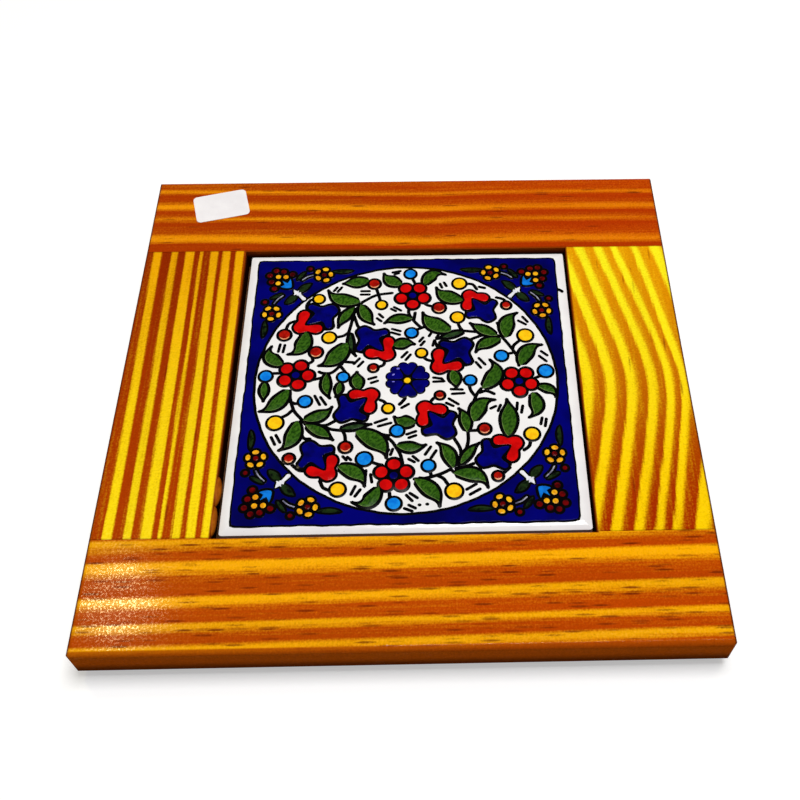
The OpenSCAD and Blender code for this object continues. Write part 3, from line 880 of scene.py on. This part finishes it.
spray_white = glaze("spray_white", (244, 244, 248), (222, 224, 234), (0.5, 0.5, 0.5))
spray_blue = glaze("spray_blue", (18, 128, 232), (10, 104, 200), (0.5, 0.5, 0.5))
spray_leaf = glaze("spray_leaf", (30, 50, 20), (4, 10, 6), (0.7, 0.7, 0.7))
spray_gold = glaze("spray_gold", (250, 190, 30), (224, 146, 16), (0.7, 0.7, 0.7))
spray_wine = glaze("spray_wine", (114, 4, 6), (54, 1, 3), (0.5, 0.5, 0.5))
spray_grey = glaze("spray_grey", (172, 172, 190), (96, 96, 124), (0.7, 0.7, 0.7))
GOLD, WINE, BLUE, WHITE, DULL, GREY = range(1, 7)
# The posy of the right rear corner: each flower's centre and petals, then the rest.
FLOWERS = [
    ((26, 42), [(25.6, 44.3), (28, 43.3), (27.8, 40.7), (25.2, 39.8), (23.9, 42.2)]),
    ((41.3, 26.3), [(40, 28.3), (42.6, 28.4), (43.5, 26), (41.5, 24.3), (39.2, 25.8)]),
]
GOLD_DOTS = [(38, 41.3), (40.4, 41.4), (40.3, 38.7)]
WINE_DOTS = [(38.8, 43.5), (41.2, 43.9), (43.1, 42), (42.4, 39.3), (41.3, 36.5), (36, 42.3)]
WINE_BUDS = [(30.5, 44.6), (43.8, 31)]
SPRAY_TULIP = [(36.2, 36.8), (38, 36.7), (39.4, 37.3), (38.2, 38), (39, 39.7), (37.3, 38.7)]
SPRAY_TULIP += [(36.5, 40.4), (36, 38)]
SPRAY_STALK = [(31.3, 31.8), (32.2, 31.6), (33.6, 33.5), (35, 33.7), (34.9, 34.3), (35.2, 36)]
SPRAY_STALK += [(34, 35.3), (33, 35.9), (32.8, 34), (31.3, 32.5)]
DULL_LEAVES = [
    (23.3, 43.5, 16.3, 44.1, 0.4, 2.2), (43.3, 23.2, 43.9, 16.5, -0.4, 2.2),
    (33.4, 34.8, 29.6, 38.2, -0.3, 3.0), (37.2, 30.6, 34.3, 34.4, 0.3, 3.0),
    (34.4, 39.8, 31.4, 43.6, -0.2, 1.9), (42.3, 32.4, 38.4, 34.9, 0.2, 1.9),
]
GREY_STROKES = [[(29.6, 41.9), (31.3, 41.2), (32.7, 40)], [(40.9, 30.4), (40, 32), (38.4, 33.6)]]


def spray_shapes():
    """Every shape of one posy: its outline, its glaze, its black margin and its rim."""
    for centre, petals in FLOWERS:
        yield disc(centre, 0.75), WINE, 1.5, 0.2
        for petal in petals:
            away = Vector(petal) - Vector(centre)
            angle = math.degrees(math.atan2(away.y, away.x))
            yield disc(petal, 0.68, 0.95, angle, 16), GOLD, 0.85, 0.25
    for dot in GOLD_DOTS:
        yield disc(dot, 0.8, segments=16), GOLD, 0.95, 0.3
    for dot in WINE_DOTS:
        yield disc(dot, 0.85, segments=16), WINE, 0.9, 0.12
    for dot in WINE_BUDS:
        yield disc(dot, 0.65, segments=16), WINE, 0.9, 0.12
    yield smooth_path(SPRAY_TULIP, True, 2), BLUE, 0.9, 0.1
    yield smooth_path(SPRAY_STALK, True, 2), WHITE, 0.6, 0.1
    for base_x, base_y, tip_x, tip_y, bow, width in DULL_LEAVES:
        ends = Vector((base_x, base_y)), Vector((tip_x, tip_y))
        yield leaf_outline(*ends, bow, width / 2, 0.5), DULL, 0.7, 0.12
    for stroke in GREY_STROKES:
        yield brush_line(stroke, 0.4, 3), GREY, 0.8, 0.08


# Each corner: how the posy is mirrored there, and how far it lies off its place.
CORNERS = [(1, 1, 0.15, -0.6), (1, -1, 0.15, -0.15), (-1, 1, -0.4, -0.6), (-1, -1, -0.7, -0.15)]
spray_mesh = bmesh.new()
for side, end, shift_x, shift_y in CORNERS:
    for index, (outline, layer, margin, rim) in enumerate(spray_shapes()):
        lift = FACE + 0.09 + 0.002 * (index % 12)
        turned = [
            [Vector((shift_x + side * point.x, shift_y + end * point.y)) for point in edge]
            for edge in (grow(outline, margin), outline)
        ]
        pad(spray_mesh, turned[0], lift + 0.02, 0.1, LINE)
        pad(spray_mesh, turned[1], lift + 0.1, rim, layer)
spray_finishes = [outline_black, spray_gold, spray_wine, spray_blue]
spray_finishes += [spray_white, spray_leaf, spray_grey]
painted("corner_sprays", spray_mesh, spray_finishes, **AS_DRAWN)


# Paper label: a small blank label of white coated paper with die-cut round corners, stuck askew
# on the rear rail. Its cut edge is painted brown as shade.

label_paper = Finish("label_paper", Specular_IOR_Level=0.3)
label_pulp = label_paper.place.noise(2.2, 2.2, 2.2, detail=4.0)
label_cloud = label_paper.place.noise(0.15, 0.15, 0.15)
label_body = label_cloud.step(0.3, 0.7).mix(colour(249, 247, 251), colour(240, 237, 242))
label_body = (label_pulp.step(0.6, 0.8) * 0.2).mix(label_body, colour(190, 182, 190))
label_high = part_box("blank_label")[1].z * 1000
# Painted shade: the label's sides below its face take a brown tint.
label_painted_edge_shade = 1.0 - label_paper.z.step(label_high - 0.04, label_high - 0.01)
label_paper.feed("Base Color", (label_painted_edge_shade * 0.6).mix(label_body, colour(150, 104, 76)))
label_paper.feed("Roughness", 0.4 + label_pulp * 0.25)
label_paper.relief(label_pulp, 0.02, 0.4)
label_paper.lay_on("blank_label")


# Feet: four round pads of dark pressed felt stuck under the frame's corners. Short fibres stand
# out of the felt in every direction, so it looks matt and slightly mottled.

felt = Finish("pressed_felt", Specular_IOR_Level=0.1, Sheen_Weight=0.3, Sheen_Roughness=0.5)
felt_fibre = felt.place.noise(3.0, 3.0, 1.2, detail=5.0)
felt_clump = felt.place.noise(0.7, 0.7, 0.7)
felt_body = felt_fibre.step(0.3, 0.75).mix(colour(44, 37, 32), colour(84, 72, 62))
felt.feed("Base Color", felt_body.vector("SCALE", 0.75 + felt_clump * 0.5))
felt.feed("Roughness", 0.85 + felt_fibre * 0.15)
felt.relief(felt_fibre * 0.7 + felt_clump * 0.3, 0.25, 0.8)
felt.lay_on(*[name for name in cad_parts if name.startswith("foot_")])


# Table and light: a pale studio sweep, a broad soft lamp overhead and two small lamps behind
# the trivet whose glare just catches the front rail's varnish.

FLOOR_REACH = 1.6
COVE_R = 0.4
BACKDROP_TOP = 0.9
sweep_mesh = bmesh.new()
cove = [math.radians(angle) for angle in range(15, 91, 15)]
profile = [(0.0, 0.0), (FLOOR_REACH, 0.0)]
profile += [(FLOOR_REACH + COVE_R * math.sin(a), COVE_R - COVE_R * math.cos(a)) for a in cove]
profile += [(FLOOR_REACH + COVE_R, BACKDROP_TOP)]
chain = [sweep_mesh.verts.new((reach, 0.0, height)) for reach, height in profile]
edges = [sweep_mesh.edges.new(pair) for pair in zip(chain, chain[1:])]
bmesh.ops.spin(
    sweep_mesh, geom=chain + edges, cent=(0, 0, 0), axis=(0, 0, 1), angle=math.tau, steps=96,
    use_merge=True,
)
bmesh.ops.remove_doubles(sweep_mesh, verts=sweep_mesh.verts, dist=0.0001)
bmesh.ops.recalc_face_normals(sweep_mesh, faces=sweep_mesh.faces)
bmesh.ops.reverse_faces(sweep_mesh, faces=sweep_mesh.faces)
sweep_data = bpy.data.meshes.new("studio_sweep")
sweep_mesh.to_mesh(sweep_data)
sweep_mesh.free()
sweep_data.shade_smooth()
paper = Finish("sweep_paper", Roughness=0.9, Specular_IOR_Level=0.0, Emission_Strength=1.0)
rays = paper.place.node("ShaderNodeLightPath", {}, {})
seen = rays.maths("MAXIMUM", rays.out("Is Camera Ray"), rays.out("Is Glossy Ray"))
seen = seen.maths("MAXIMUM", seen, rays.out("Is Transmission Ray"))
paper.feed("Base Color", seen.mix((0.45, 0.45, 0.45, 1.0), (0.7, 0.7, 0.7, 1.0)))
paper.feed("Emission Color", seen.mix((0.0, 0.0, 0.0, 1.0), (0.42, 0.42, 0.42, 1.0)))
sweep_data.materials.append(paper.material)
sweep = bpy.data.objects.new("studio_sweep", sweep_data)
bpy.context.scene.collection.objects.link(sweep)


def lamp(name, place, aim, size, power, tint=(1.0, 1.0, 1.0)):
    """A square soft lamp that faces a point, in metres and watts."""
    data = bpy.data.lights.new(name, "AREA")
    data.size = size
    data.energy = power
    data.color = tint
    holder = bpy.data.objects.new(name, data)
    holder.location = place
    holder.rotation_euler = (Vector(place) - Vector(aim)).to_track_quat("Z", "Y").to_euler()
    bpy.context.scene.collection.objects.link(holder)


WARM = (1.0, 0.86, 0.5)
lamp("overhead", (0.14, 0.02, 1.0), (0, 0, 0), 0.4, 7.8)
lamp("glare_left", (-0.243, 0.155, 0.522), (-0.07, -0.07, 0), 0.05, 0.36, WARM)
lamp("glare_right", (0.314, 0.13, 0.528), (0.09, -0.08, 0), 0.04, 0.14, WARM)
world = bpy.data.worlds.new("studio")
world.use_nodes = True
world.node_tree.nodes["Background"].inputs["Color"].default_value = (1.0, 1.0, 1.0, 1.0)
world.node_tree.nodes["Background"].inputs["Strength"].default_value = 0.15
bpy.context.scene.world = world
bpy.context.scene.view_settings.view_transform = "Standard"


# Camera: the photograph's own viewpoint, over the front edge and looking down at the trivet.
# Its small sideways shift sets the trivet in the picture where the photograph has it.

LENS_MM = 46.21
LENS_SHIFT = -0.0697
CAMERA_PLACE = (0.0095, -0.1783, 0.2579)
TILT_DEG, LEAN_DEG, ROLL_DEG = 34.89, -1.0, -0.86
camera_data = bpy.data.cameras.new("camera")
camera_data.sensor_width = 36.0
camera_data.lens = LENS_MM
camera_data.shift_x = LENS_SHIFT
camera_data.clip_start = 0.01
camera = bpy.data.objects.new("camera", camera_data)
tilt = Matrix.Rotation(math.radians(TILT_DEG), 4, "X")
lean = Matrix.Rotation(math.radians(LEAN_DEG), 4, "Y")
roll = Matrix.Rotation(math.radians(ROLL_DEG), 4, "Z")
camera.matrix_world = Matrix.Translation(CAMERA_PLACE) @ tilt @ lean @ roll
bpy.context.scene.collection.objects.link(camera)
bpy.context.scene.camera = camera
